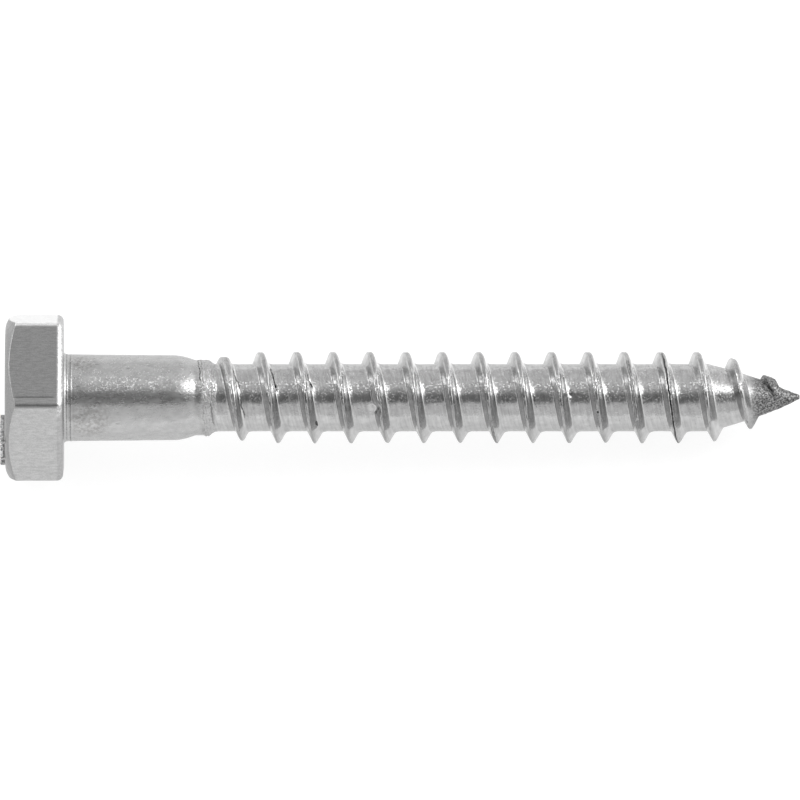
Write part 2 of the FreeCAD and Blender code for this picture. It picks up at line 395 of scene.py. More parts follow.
tip_edges = cut_square(LENGTH - 0.02, True)
fillet_edges = cut_square(FILLET, False)
bmesh.ops.holes_fill(bm, edges=tip_edges, sides=0)
RAGGED, TIP_TEAR, TIP_BEND = 0.6, 0.09, 0.05
for v in bm.verts:
    if v.co.x > LENGTH - RAGGED:
        share = ease((v.co.x - LENGTH + RAGGED) / RAGGED)
        v.co.x += TIP_TEAR * share * min(0.15, noise.noise(v.co * 5))
        v.co.y += TIP_BEND * share
print("body points", len(bm.verts), "open edges", sum(e.is_boundary for e in bm.edges))

# %% [markdown]
# ## The fillet under the head
# The header leaves a small hollow where the shank meets the head. The cut end of the body is
# extruded in a few rings, and each ring is opened out along a quarter circle.


# %% Extrude the fillet
def next_ring(edges):
    """Extrude a ring of edges and give the new edges and their points."""
    made = bmesh.ops.extrude_edge_only(bm, edges=edges)["geom"]
    new_edges = [e for e in made if isinstance(e, bmesh.types.BMEdge)]
    new_points = [v for v in made if isinstance(v, bmesh.types.BMVert)]
    return new_edges, new_points


def set_radius(point, radius):
    """Move a point straight out from the axis or in towards it."""
    now = math.hypot(point.co.y, point.co.z)
    point.co.y *= radius / now
    point.co.z *= radius / now


FILLET_RINGS = 5
FILLET_FOOT = SHANK_RADIUS + 0.03
ring = fillet_edges
for k in range(1, FILLET_RINGS + 1):
    ring, points = next_ring(ring)
    bend = math.radians(90 * k / FILLET_RINGS)
    for v in points:
        v.co.x = FILLET * (1 - math.sin(bend))
        set_radius(v, FILLET_FOOT + FILLET * (1 - math.cos(bend)))
shank_rim = ring
print("fillet rim radius", FILLET_FOOT + FILLET, "edges", len(shank_rim))

# %% [markdown]
# ## The head
# The hexagon starts as a circle of six points, one flat facing the floor. A vertex bevel rounds its
# corners, and its long edges are divided, closer together near the corners, so that the flats stay
# flat there. The outline is then extruded in rings: over the rolled rim to the bearing face on one
# side, and up to the 30 degree cone that the header's die leaves round the top on the other side.

# %% Sizes of the head and its outline
ACROSS_FLATS, HEAD_HEIGHT = 11.1, 4.06
HALF_FLATS = ACROSS_FLATS / 2
CORNER_RADIUS, RIM_RADIUS = 0.32, 0.45
CHAMFER = math.tan(math.radians(30))
CHAMFER_AT_FLATS = 0.27
TOP_RADIUS = HALF_FLATS - CHAMFER_AT_FLATS / CHAMFER
TOP_EDGE_ROUND, CHAMFER_EDGE_ROUND = 0.30, 0.08
FLAT_POINTS = [0.07, 0.2, 0.32, 0.39, 0.44, 0.49, 0.6, 0.9, 1.5, 2.3]

outline_layer = bm.verts.layers.float.new("outline")
UPRIGHT = Matrix.Rotation(math.radians(-90), 4, "Y")
hexagon = bmesh.ops.create_circle(
    bm, cap_ends=True, segments=6, radius=HALF_FLATS / math.cos(math.radians(30)),
    matrix=Matrix.Translation((-RIM_RADIUS, 0, 0)) @ UPRIGHT,
)["verts"]
bmesh.ops.bevel(
    bm, geom=hexagon, affect="VERTICES", offset=CORNER_RADIUS * math.tan(math.radians(30)),
    offset_type="OFFSET", segments=4, profile=0.5, material=-1,
)


def lies_at(part, along):
    """True for an edge or face whose points all lie at one place along the axis."""
    return all(abs(v.co.x - along) < 1e-4 for v in part.verts)


bmesh.ops.delete(bm, geom=[f for f in bm.faces if lies_at(f, -RIM_RADIUS)], context="FACES_ONLY")
for flat in [e for e in bm.edges if lies_at(e, -RIM_RADIUS) and e.calc_length() > 1]:
    start, end = flat.verts[0].co.copy(), flat.verts[1].co.copy()
    long = (end - start).length
    stops = FLAT_POINTS + [long / 2] + [long - s for s in reversed(FLAT_POINTS)]
    made = bmesh.ops.subdivide_edges(bm, edges=[flat], cuts=len(stops))["geom_inner"]
    points = [v for v in made if isinstance(v, bmesh.types.BMVert)]
    points.sort(key=lambda v: (v.co - start).length)
    for v, stop in zip(points, stops):
        v.co = start.lerp(end, stop / long)
outline = [e for e in bm.edges if lies_at(e, -RIM_RADIUS)]
for e in outline:
    for v in e.verts:
        v[outline_layer] = math.hypot(v.co.y, v.co.z)
print("outline edges", len(outline), "top radius", round(TOP_RADIUS, 3))


# %% Extrude the rim and the sides
def head_ring(edges, along, scale=1.0):
    """Extrude a ring of the head to a place along the axis, its outline scaled."""
    new_edges, new_points = next_ring(edges)
    for v in new_points:
        set_radius(v, v[outline_layer] * scale)
        v.co.x = along(v[outline_layer] * scale) if callable(along) else along
    return new_edges


RIM_RINGS = 7
ring = outline
for k in range(1, RIM_RINGS + 1):
    bend = math.radians(90 * k / RIM_RINGS)
    inward = RIM_RADIUS * (1 - math.cos(bend))
    ring = head_ring(ring, -RIM_RADIUS * (1 - math.sin(bend)), (HALF_FLATS - inward) / HALF_FLATS)
bearing_rim = head_ring(ring, 0.0, (HALF_FLATS - RIM_RADIUS - 0.06) / HALF_FLATS)
bmesh.ops.triangle_fill(bm, use_beauty=True, edges=bearing_rim + shank_rim, normal=(1, 0, 0))


def cone(out):
    """Height of the chamfer cone at a radius."""
    return -HEAD_HEIGHT + (out - TOP_RADIUS) * CHAMFER


SIDE_RINGS = 10
ring = outline
for k in range(1, SIDE_RINGS + 1):
    share = (1 - math.cos(math.pi * k / SIDE_RINGS)) / 2
    ring = head_ring(ring, lambda out: -RIM_RADIUS + (cone(out) + RIM_RADIUS) * share)
chamfer_edge = ring
top_edge, points = next_ring(ring)
for v in points:
    set_radius(v, TOP_RADIUS)
    v.co.x = -HEAD_HEIGHT
top_ring, points = next_ring(top_edge)
for v in points:
    set_radius(v, TOP_RADIUS - TOP_EDGE_ROUND - 0.04)
bmesh.ops.bevel(
    bm, geom=chamfer_edge, affect="EDGES", offset=CHAMFER_EDGE_ROUND, offset_type="OFFSET", segments=3,
    profile=0.5, material=-1,
)
bmesh.ops.bevel(
    bm, geom=top_edge, affect="EDGES", offset=TOP_EDGE_ROUND, offset_type="OFFSET", segments=4,
    profile=0.5, material=-1,
)
print("head made, open edges", sum(e.is_boundary for e in bm.edges))

# %% [markdown]
# ## The raised bars on top
# The top of the head carries a fan of plain raised bars. Each bar starts as a small circle that is
# pulled out into a slot shape. Triangle fill closes the top between the bars, the outlines are
# extruded to the bars' height and capped, and a small bevel eases their edges.

# %% Raise the bars
BAR_WIDTH, BAR_HEIGHT, BAR_SPACING, BARS_MIDDLE = 0.42, 0.35, 24, 295
BAR_INNER, BAR_OUTER = 1.9 + BAR_WIDTH / 2, TOP_RADIUS - 0.38 - BAR_WIDTH / 2
bar_loops = []
for k in range(5):
    bar_turn = Matrix.Rotation(math.radians(BARS_MIDDLE + BAR_SPACING * (k - 2)), 4, "X")
    out = bar_turn @ Vector((0, 0, -1))
    middle = out * BAR_INNER + Vector((-HEAD_HEIGHT, 0, 0))
    circle = bmesh.ops.create_circle(
        bm, cap_ends=False, segments=24, radius=BAR_WIDTH / 2,
        matrix=Matrix.Translation(middle) @ bar_turn @ UPRIGHT,
    )["verts"]
    outer_half = [v for v in circle if (v.co - middle).dot(out) > 1e-4]
    bmesh.ops.translate(bm, verts=outer_half, vec=out * (BAR_OUTER - BAR_INNER))
    bar_loops.append(list(dict.fromkeys(e for v in circle for e in v.link_edges)))
top_ring = [e for e in bm.edges if e.is_boundary and lies_at(e, -HEAD_HEIGHT)]
fill_edges = top_ring + [e for loop in bar_loops for e in loop]
bmesh.ops.triangle_fill(bm, use_beauty=True, edges=fill_edges, normal=(-1, 0, 0))
for loop in bar_loops:
    edges, points = next_ring(loop)
    for v in points:
        v.co.x = -HEAD_HEIGHT - BAR_HEIGHT
    bmesh.ops.contextual_create(bm, geom=edges)
    bmesh.ops.bevel(
        bm, geom=edges, affect="EDGES", offset=0.11, offset_type="OFFSET", segments=3, profile=0.5,
        material=-1,
    )
print("open edges", sum(e.is_boundary for e in bm.edges), "loose", sum(e.is_wire for e in bm.edges))

# %% [markdown]
# ## Faults of the head
# The die leaves the flats a little uneven. A narrow fold runs along the upper flat beside its front
# corner, where the metal filled the die last, and the edge of the chamfer is nibbled.

# %% Press the faults into the head
FOLD_AT, FOLD_END, FOLD_DROP, FOLD_DEPTH, FOLD_WIDTH = -2.573, -3.1, 0.022, 0.018, 0.045
FOLD_FROM, FOLD_TO = (-3.5, 0.3), (-0.45, 0.25)
FLAT_WAVE, NIBBLE, NIBBLE_REACH, BAR_WEAR = 0.012, 0.02, 0.12, 0.05
for v in bm.verts:
    if v.co.x > -1e-4 and math.hypot(v.co.y, v.co.z) < HALF_FLATS - 0.6:
        continue
    if v.co.x > 0.01:
        continue
    spread = math.hypot(v.co.y, v.co.z)
    if v.co.x > -HEAD_HEIGHT - 0.01 and spread > TOP_RADIUS + 0.05:
        set_radius(v, spread + FLAT_WAVE * noise.noise(v.co * 0.8))
    near_cone = math.exp(-(((v.co.x - cone(spread)) / NIBBLE_REACH) ** 2))
    if spread > TOP_RADIUS + 0.05:
        v.co.x += NIBBLE * near_cone * noise.noise(v.co * 2.6)
    if v.co.z > HALF_FLATS - 0.1 and v.co.x < -0.3:
        fade = ease((v.co.x - FOLD_FROM[0]) / FOLD_FROM[1]) * ease((FOLD_TO[0] - v.co.x) / FOLD_TO[1])
        fold = math.exp(-(((v.co.y - FOLD_AT) / FOLD_WIDTH) ** 2))
        strip = ease((FOLD_AT - v.co.y) / 0.1)
        slope = min(1.0, max(0.0, (FOLD_AT - v.co.y) / (FOLD_AT - FOLD_END)))
        v.co.z -= fade * (FOLD_DEPTH * fold + FOLD_DROP * strip * slope)
    if v.co.x < -HEAD_HEIGHT - 0.05:
        elsewhere = v.co * 3 + Vector((5, 0, 0))
        v.co += BAR_WEAR * Vector((noise.noise(v.co * 3), noise.noise(elsewhere), noise.noise(v.co * 4)))
print("open or shared edges", sum(len(e.link_faces) != 2 for e in bm.edges))

# %% [markdown]
# ## The finished mesh
# Doubles are merged first, and only then are the faces turned outwards. The two flat ends of the
# head are shaded flat and every edge that bends sharply is marked, so that the smooth shading of
# the skin doesn't smear across them.

# %% Turn the faces outwards, lay the screw down and hand it over
SHARP_BEND = math.radians(50)
bmesh.ops.remove_doubles(bm, verts=bm.verts, dist=0.0005)
bmesh.ops.recalc_face_normals(bm, faces=bm.faces)
for face in bm.faces:
    face.smooth = not (lies_at(face, -HEAD_HEIGHT) or lies_at(face, 0))
for edge in bm.edges:
    edge.smooth = edge.calc_face_angle() < SHARP_BEND
bmesh.ops.transform(bm, matrix=LAY_DOWN, verts=bm.verts)
print("volume", round(bm.calc_volume() * 1e9, 1), "mm3; triangles", sum(len(f.verts) - 2 for f in bm.faces))
mesh = bpy.data.meshes.new("lag_screw_steel")
bm.to_mesh(mesh)
bm.free()
screw = bpy.data.objects.new("lag_screw_steel", mesh)
bpy.context.scene.collection.objects.link(screw)
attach(screw, list(frame["bodies"])[0])
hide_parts("lag_screw")


# %% [markdown]
# ## The steel
# Bare stainless steel has no colour of its own, so its look is what it mirrors and how sharply. Every
# zone of a lag screw has met another tool: the head is satin from the header's die, the shank keeps
# the dull grain of the drawn wire, the thread is burnished by the dies and the point is left rough
# where the waste was nipped off. One material holds all four. It reads the object's coordinates,
# turned back to the screw's own axis and brought to millimetres, and blends the zones by the
# distance from the bearing face.

# %% Start the steel and read the place on the screw
steel = bpy.data.materials.new("rolled_steel")
steel.use_nodes = True
nodes, links = steel.node_tree.nodes, steel.node_tree.links
shader = nodes["Principled BSDF"]
shader.inputs["Metallic"].default_value = 1
shader.inputs["Specular Tint"].default_value = (0.92, 0.92, 0.92, 1)
mesh.materials.append(steel)


def add(kind, inputs=None, **settings):
    """Add a node, set its own settings, and set or wire its inputs."""
    node = nodes.new(kind)
    for name, value in settings.items():
        setattr(node, name, value)
    for name, value in (inputs or {}).items():
        if isinstance(value, bpy.types.NodeSocket):
            links.new(value, node.inputs[name])
        else:
            node.inputs[name].default_value = value
    return node


def calc(operation, *values):
    """One step of arithmetic on numbers or wired values."""
    return add("ShaderNodeMath", dict(enumerate(values)), operation=operation).outputs["Value"]


def product(*values):
    """All values multiplied together."""
    result = values[0]
    for value in values[1:]:
        result = calc("MULTIPLY", result, value)
    return result


def ramp(value, low, high, to_low=0.0, to_high=1.0):
    """Carry a value softly from one range to another, and hold it at the ends."""
    inputs = {"Value": value, "From Min": low, "From Max": high, "To Min": to_low, "To Max": to_high}
    return add("ShaderNodeMapRange", inputs, interpolation_type="SMOOTHSTEP").outputs["Result"]


def summed(*values):
    """All values added together."""
    result = values[0]
    for value in values[1:]:
        result = calc("ADD", result, value)
    return result


def blend(share, first, second):
    """Go from the first number to the second by share."""
    return add("ShaderNodeMix", {"Factor": share, 2: first, 3: second}, data_type="FLOAT").outputs[0]


coordinates = add("ShaderNodeTexCoord")
object_place = coordinates.outputs["Object"]
own_place = add(
    "ShaderNodeMapping", {"Vector": object_place, "Rotation": (0, -TILT, 0), "Scale": (1000, 1000, 1000)}
).outputs["Vector"]
split = add("ShaderNodeSeparateXYZ", {"Vector": own_place})
along_screw, own_y, own_z = split.outputs["X"], split.outputs["Y"], split.outputs["Z"]


def grain(scale, stretch=(1, 1, 1), detail=2.0):
    """Noise on the screw's own place, as a number about 0.5; stretch is along the axis, then across."""
    moved = add("ShaderNodeMapping", {"Vector": own_place, "Scale": stretch})
    return add(
        "ShaderNodeTexNoise", {"Vector": moved.outputs["Vector"], "Scale": scale, "Detail": detail}
    ).outputs["Fac"]


# %% [markdown]
# Marks of rolling follow the thread and not the axis. The turn of the thread that a place belongs to
# is its distance along the axis in pitches, less its share of a full circle. What is left of it past
# a whole number tells how far the place lies from the middle of the crest. Wrapping that on a circle
# gives noise that runs in streaks along the thread without a break.

# %% Read the place on the thread
own_angle = calc("ARCTAN2", own_y, calc("MULTIPLY", own_z, -1.0))
circle_share = calc("FRACT", calc("DIVIDE", own_angle, math.tau))
turns = calc("SUBTRACT", calc("DIVIDE", calc("SUBTRACT", along_screw, LOW_CREST), PITCH), circle_share)
ridge_number = calc("ROUND", turns)
across = calc("MULTIPLY", calc("SUBTRACT", turns, ridge_number), PITCH)
off_crest = calc("ABSOLUTE", across)
wrapped = calc("MULTIPLY", turns, math.tau)
CIRCLE = PITCH / math.tau


def streaks(scale, stretch, detail=2.0):
    """Noise drawn out along the thread: stretch is how slowly it changes that way."""
    place_across = add("ShaderNodeCombineXYZ", {
        "X": product(calc("COSINE", wrapped), CIRCLE), "Y": product(calc("SINE", wrapped), CIRCLE),
        "Z": product(own_y, stretch),
    }).outputs["Vector"]
    place_round = product(calc("MULTIPLY_ADD", along_screw, 1.3, own_z), stretch)
    return add("ShaderNodeTexNoise", {
        "Vector": place_across, "W": place_round, "Scale": scale, "Detail": detail,
    }, noise_dimensions="4D").outputs["Fac"]


# %% [markdown]
# A zone is a number that is 1 where the steel has one look, 0 where it has another, and fades from
# one to the other over a short stretch. The lengthwise zones read the distance from the bearing
# face, the flats of the head are told apart by how far they stand from the axis, and the flank and
# the crest by how far a place lies from the middle of the crest. Roughness is blended first.

# %% Blend the zones
in_thread = ramp(along_screw, 9.2, 10.4)
in_point = ramp(along_screw, 47.4, 48.6)
in_head = ramp(along_screw, 0.05, -0.05)
clear_of_head = ramp(along_screw, 1.0, 2.2)
FLAT_NEAR, FLAT_REACHED = HALF_FLATS - 0.3, HALF_FLATS - 0.1
on_top_flat = ramp(own_z, FLAT_NEAR, FLAT_REACHED)
on_bars = ramp(along_screw, -4.1, -4.2)
far_share = calc("ADD", product(own_y, math.cos(math.radians(30))), product(own_z, 0.5))
on_far_flat = ramp(far_share, FLAT_NEAR, FLAT_REACHED)
off_axis = add("ShaderNodeVectorMath", {0: own_place, 1: (0, 1, 1)}, operation="MULTIPLY").outputs["Vector"]
spread_out = add("ShaderNodeVectorMath", {0: off_axis}, operation="LENGTH").outputs["Value"]
faces_back = add(
    "ShaderNodeVectorMath", {0: coordinates.outputs["Normal"], 1: -axis_down}, operation="DOT_PRODUCT"
).outputs["Value"]
on_chamfer = ramp(faces_back, 0.35, 0.80)
on_rim = ramp(along_screw, -0.48, -0.34)
above_foot = ramp(calc("SUBTRACT", off_crest, product(across, 0.12)), 0.52, 0.42)
on_flank = product(
    ramp(off_crest, 0.17, 0.24), above_foot, ramp(along_screw, 11.0, 12.5), ramp(along_screw, 48.0, 47.0),
)
on_crest = product(ramp(off_crest, 0.14, 0.08), in_thread, ramp(along_screw, 48.5, 47.5))

head_rough = ramp(grain(2.2, (1, 1, 1), 4), 0.3, 0.7, 0.30, 0.38)
shank_rough = ramp(grain(3.0, (0.5, 1, 1), 4), 0.3, 0.7, 0.24, 0.34)
thread_rough = ramp(streaks(4.0, 0.15, 3), 0.3, 0.7, 0.15, 0.27)
rough = blend(in_thread, shank_rough, thread_rough)
rough = blend(in_point, rough, 0.50)
rough = blend(in_head, rough, head_rough)
links.new(rough, shader.inputs["Roughness"])

# %% [markdown]
# Cracks, laps and pits are darkened where they lie, as painted shade in the recesses. A lap is drawn as a
# line that keeps to one turn of the thread, between two angles about the axis. The lines of the
# collar lean with it, and fine noise breaks them into short marks.

# %% Dark lines and spots: painted shade in the laps, cracks, pits, the fold and the collar's lines
degrees_round = calc("MULTIPLY", circle_share, 360.0)
broken = ramp(grain(6.0, (1, 1, 1), 3), 0.32, 0.46, 0.25, 1.0)
sway = ramp(grain(1.8, (1, 1, 1), 3), 0.3, 0.7, -0.045, 0.045)
shaded_creases = 0.0
for number, start_deg, stop_deg, first, last, deep in LAPS:
    share = ramp(degrees_round, start_deg, stop_deg)
    middle = blend(share, first, last)
    from_crest = calc("MULTIPLY", calc("SUBTRACT", turns, number), PITCH)
    away = calc("ABSOLUTE", calc("ADD", calc("SUBTRACT", from_crest, middle), sway))
    width = 0.035 + 0.4 * deep
    line = product(
        ramp(away, width, width * 0.35), ramp(degrees_round, start_deg - 2, start_deg + 6),
        ramp(degrees_round, stop_deg + 2, stop_deg - 6), min(1.0, 0.35 + deep * 9),
    )
    shaded_creases = calc("MAXIMUM", line, shaded_creases)
shaded_creases = product(shaded_creases, broken)
# Painted shade along the fold on the top flat of the head.
fold_shade = product(
    ramp(calc("ABSOLUTE", calc("SUBTRACT", own_y, FOLD_AT)), 0.085, 0.02), on_top_flat,
    ramp(along_screw, -3.45, -3.2), ramp(along_screw, -0.55, -0.75), 0.30,
)
shaded_creases = calc("MAXIMUM", shaded_creases, fold_shade)
facing_low = math.radians(LEAN_TOWARDS)
low_share = calc("ADD", product(own_y, math.sin(facing_low)), product(own_z, -math.cos(facing_low)))
leaning = product(calc("DIVIDE", low_share, spread_out), COLLAR_LEAN)
lean = calc("ADD", calc("SUBTRACT", along_screw, leaning), sway)
ragged = ramp(grain(9.0, (1, 1, 1), 3), 0.44, 0.56, 0.1, 1.0)
COLLAR_LINES = [(9.66, 0.06, 0.75), (9.84, 0.05, 0.55), (10.04, 0.04, 0.12)]
# Painted shade in the lines of the collar, darker on the side opposite LEAN_TOWARDS.
for at, wide, dark in COLLAR_LINES:
    bite = ramp(calc("ABSOLUTE", calc("SUBTRACT", lean, at)), wide, wide * 0.3)
    depth = ramp(low_share, -2.4, 1.5, 1.4 * dark, 0.4 * dark)
    shaded_creases = calc("MAXIMUM", shaded_creases, product(bite, ragged, depth))


def spot(along, degrees, radius, size):
    """1 at a named place on the skin and 0 beyond its size."""
    angle = math.radians(degrees)
    middle = (along, radius * math.sin(angle), -radius * math.cos(angle))
    away = add("ShaderNodeVectorMath", {0: own_place, 1: middle}, operation="DISTANCE").outputs["Value"]
    return ramp(away, size, size * 0.4)


# Painted shade in the pit, the crack and the nick.
DARK_SPOTS = [
    (17.62, 246, 2.52, 0.09), (17.64, 249, 2.50, 0.11), (17.68, 252, 2.48, 0.11),
    (17.72, 256, 2.44, 0.08), (17.76, 260, 2.42, 0.07), (35.40, 198, 2.36, 0.12),
    (37.28, 224, 3.06, 0.14),
]
for place in DARK_SPOTS:
    shaded_creases = calc("MAXIMUM", shaded_creases, spot(*place))
stains = calc("ADD", spot(1.85, 237, 3.03, 2.0), spot(1.3, 150, 3.03, 1.3))
stained = product(stains, ramp(grain(4.5, (1, 1, 1), 6), 0.36, 0.62))
dashes = product(
    ramp(grain(3.2, (0.45, 2.6, 2.6), 1), 0.70, 0.76), ramp(along_screw, 7.6, 6.8),
    ramp(along_screw, 0.2, 0.6),
)

# %% [markdown]
# The grey of the steel changes by zone. On the thread the flanks carry painted light: they are lighter
# than the crest, most of all on one side of the screw, and painted shade darkens the head's side of the
# ridge further round. Along one strip of the skin fine bright glints are painted highlights, spots of
# lighter grey. The scalloped bite has a painted highlight too.

# %% Give each zone its grey
tone = ramp(grain(2.4, (0.7, 1, 1), 6), 0.25, 0.75, 0.42, 0.50)
# Painted highlights: a band from about 175 to 198 degrees about the axis, clear of the head, gets bright
# glints in its grey.
glint_band = product(ramp(degrees_round, 172, 181), ramp(degrees_round, 201, 194), clear_of_head)
clouds = ramp(grain(1.3, (1, 1, 1), 2), 0.40, 0.54, 0.25, 1.0)
head_side_flank = product(on_flank, ramp(across, 0.0, -0.1))
on_collar = product(ramp(along_screw, 9.5, 9.75), ramp(along_screw, 10.8, 10.45))
glint_patches = calc("MAXIMUM", clouds, on_collar)
painted_glints = product(
    ramp(grain(8.0, (0.8, 1, 1), 1), 0.56, 0.65), glint_patches, glint_band, calc("SUBTRACT", 1.0, head_side_flank),
)
rolled_tone = ramp(streaks(7.0, 0.12, 4), 0.3, 0.7, 0.91, 1.09)
# Painted light on the flanks: lighter by the angle about the axis, most below 192 degrees and on the side
# of the ridge that faces the point.
point_side_light = ramp(degrees_round, 192, 208, 1.85, 1.15)
head_side_light = ramp(degrees_round, 198, 212, 1.25, 0.98)
flank_light = blend(ramp(across, -0.1, 0.1), head_side_light, point_side_light)
# Painted shade on the head's side of the ridge, between about 130 and 165 degrees about the axis.
shaded_side = product(
    ramp(across, -0.05, -0.2), ramp(degrees_round, 125, 142), ramp(degrees_round, 172, 158), on_flank,
)
# Painted highlight: the scalloped bite in a flank is a lighter grey.
bite_highlight = spot(21.50, 221.5, 2.42, 0.42)
CREST_GREY, SHADE_GREY, GLINT, BITE_GLOW = 0.80, 0.62, 1.9, 1.3
tone = product(
    tone, blend(in_thread, 1.0, rolled_tone), blend(on_crest, 1.0, CREST_GREY),
    blend(on_flank, 1.0, flank_light), blend(shaded_side, 1.0, SHADE_GREY), blend(painted_glints, 1.0, GLINT),
    blend(bite_highlight, 1.0, BITE_GLOW),
)
tone = blend(in_point, tone, ramp(grain(9.0, (1, 1, 1), 3), 0.38, 0.66, 0.08, 0.36))

# %% Give the head its greys: painted light and shade on the flats, the fold strip, the rim and the chamfer
# Each flat, the strip beside the fold, the rim and the chamfer are one steel: their different greys are
# painted light and shade.
FRONT_FLAT, TOP_FLAT, FOLD_STRIP, FAR_FLAT, RIM, CHAMFER_CONE = 0.465, 0.285, 0.325, 0.86, 0.40, 0.28
on_strip = ramp(own_y, FOLD_AT + 0.01, FOLD_AT - 0.05)
top_tone = blend(on_strip, TOP_FLAT, FOLD_STRIP)
head_tone = blend(on_far_flat, blend(on_top_flat, FRONT_FLAT, top_tone), FAR_FLAT)
# Painted highlight on the rim beside the top flat, broken by noise.
rim_highlight = ramp(grain(7.0, (1, 1, 1), 4), 0.36, 0.60, RIM, 0.62)
head_tone = blend(on_rim, head_tone, blend(ramp(own_z, 4.6, 5.0), RIM, rim_highlight))
head_tone = blend(on_chamfer, head_tone, CHAMFER_CONE)
brushed = calc("ADD", grain(9.0, (0.2, 1, 1), 3), grain(13.0, (1, 1, 1), 3))
head_tone = product(head_tone, ramp(brushed, 0.7, 1.3, 0.86, 1.14))
tone = blend(in_head, tone, head_tone)
bar_tone = ramp(grain(6.0, (1, 1, 1), 4), 0.35, 0.65, 0.22, 0.60)
tone = blend(product(on_bars, in_head), tone, bar_tone)

# %% Lay the painted shade of the creases, the drawn dashes and the stains over the greys
crease_shade_and_dashes = calc("SUBTRACT", 1.0, calc("MAXIMUM", product(shaded_creases, 0.93), product(dashes, 0.45)))
tone = product(tone, crease_shade_and_dashes)
colour = add(
    "ShaderNodeMix", {"Factor": stained, 6: (1, 1, 1, 1), 7: (0.74, 0.732, 0.725, 1)}, data_type="RGBA"
).outputs[2]
tinted = add("ShaderNodeVectorMath", {0: colour, "Scale": tone}, operation="SCALE").outputs["Vector"]
links.new(tinted, shader.inputs["Base Color"])

# %% [markdown]
# The finest relief, a few hundredths of a millimetre high at most, is bump: drawn lines on the
# shank, streaks and chips on the thread, crinkles on the collar and on the young ridge, satin on the
# head and a coarse grain on the point. One side of the screw is calm, with hardly a speck.

# %% Cut the fine grain of each zone as bump
calm = product(ramp(degrees_round, 193, 199), ramp(degrees_round, 290, 275))
specks = product(ramp(grain(8.5, (0.8, 1, 1), 2), 0.56, 0.68), blend(calm, 0.014, 0.004))
fine_lines, broad_lines = grain(9.0, (0.5, 1, 1), 4), grain(4.0, (0.3, 1, 1), 2)
drawn = summed(product(fine_lines, 0.008), product(broad_lines, 0.006), specks)
for at, wide, rise in GRIP_RINGS:
    from_ring = calc("ABSOLUTE", calc("SUBTRACT", along_screw, at))
    drawn = calc("ADD", drawn, product(ramp(from_ring, wide * 1.2, 0.0), rise * 0.4))
rolled = product(streaks(9.0, 0.25, 4), blend(on_flank, 0.0050, 0.0015))
crest_lines = product(streaks(12.0, 0.16, 3), on_crest, 0.022)
smooth_flank = calc("MAXIMUM", head_side_flank, product(on_flank, ramp(degrees_round, 186, 200)))
chips = product(
    ramp(grain(7.5, (1, 1, 1), 2), 0.54, 0.66), clouds, blend(smooth_flank, 0.024, 0.002),
    blend(calm, 1.0, 0.3),
)
satin = product(brushed, 0.0035)
raw = product(grain(11.0, (1, 1, 1), 4), 0.035)
on_young = product(
    ramp(off_crest, 0.55, 0.35), ramp(along_screw, 10.5, 11.0), ramp(along_screw, 12.2, 11.2),
)
crinkles = product(grain(7.0, (1.8, 0.8, 0.8), 4), calc("MAXIMUM", on_collar, on_young), 0.075)
threaded = summed(rolled, crest_lines, chips)
height = calc("ADD", blend(in_thread, drawn, threaded), crinkles)
height = blend(in_point, height, raw)
height = blend(in_head, height, blend(on_bars, satin, raw))
height = calc("SUBTRACT", height, product(shaded_creases, 0.03))
bump = add("ShaderNodeBump", {"Height": height, "Distance": 0.001, "Strength": 1.0})
links.new(bump.outputs["Normal"], shader.inputs["Normal"])
print("steel nodes", len(nodes))

# %% [markdown]
# ## Floor and camera
# The screw lies on a pale sheet. The camera looks square to the screw's axis, 25 degrees off the
# vertical, from far away through a long lens, so that the head shows no perspective.

# %% Floor
floor_height = cad_box[0].z
floor_mesh = bpy.data.meshes.new("floor")
fb = bmesh.new()
at_floor = Matrix.Translation((0, 0, floor_height))
bmesh.ops.create_grid(fb, x_segments=1, y_segments=1, size=3, matrix=at_floor)
fb.to_mesh(floor_mesh)
fb.free()
floor = bpy.data.objects.new("floor", floor_mesh)
bpy.context.scene.collection.objects.link(floor)
paper = bpy.data.materials.new("pale_paper")
paper.use_nodes = True
paper_shader = paper.node_tree.nodes["Principled BSDF"]
paper_shader.inputs["Base Color"].default_value = (0.22, 0.22, 0.22, 1)
paper_shader.inputs["Roughness"].default_value = 0.4
paper_shader.inputs["Emission Color"].default_value = (1, 1, 1, 1)
paper_shader.inputs["Emission Strength"].default_value = 0.86
floor_mesh.materials.append(paper)

# %% Camera
VIEW_ANGLE = math.radians(205)
FRAME_WIDTH, PHOTO_SIZE = 55.86, 800
PIXELS_PER_MM = PHOTO_SIZE / FRAME_WIDTH
MIDDLE_ALONG, AXIS_ABOVE_MIDDLE = 23.49, 2.3
LENS, SENSOR = 1500, 36
own = Matrix.Rotation(TILT, 3, "Y")
to_camera = own @ Vector((0, math.sin(VIEW_ANGLE), -math.cos(VIEW_ANGLE)))
right = own @ Vector((1, 0, 0))
up = to_camera.cross(right)
look_at = own @ Vector((MIDDLE_ALONG, 0, 0)) * 0.001 - up * (AXIS_ABOVE_MIDDLE / PIXELS_PER_MM * 0.001)
camera_data = bpy.data.cameras.new("camera")
camera_data.lens, camera_data.sensor_width = LENS, SENSOR
camera_data.clip_start, camera_data.clip_end = 0.05, 20
camera = bpy.data.objects.new("camera", camera_data)
bpy.context.scene.collection.objects.link(camera)
distance = FRAME_WIDTH * 0.001 * LENS / SENSOR
turn = Matrix((right, up, to_camera)).transposed().to_4x4()
camera.matrix_world = Matrix.Translation(look_at + to_camera * distance) @ turn
bpy.context.scene.camera = camera
print("camera", round(distance, 3), "m away")

# %% [markdown]
# ## Light
# Steel shows the room more than itself. The room is pale, a little lighter towards both ends of the
# screw, with a broad window to the right, a bright soft box before it for the highlights and a small
# one at the left for the head's edges. The dark band along the middle of the screw is the dim place
# round the camera: a few dark cards behind the camera, each lighter than the one below it, make its
# soft upper edge.

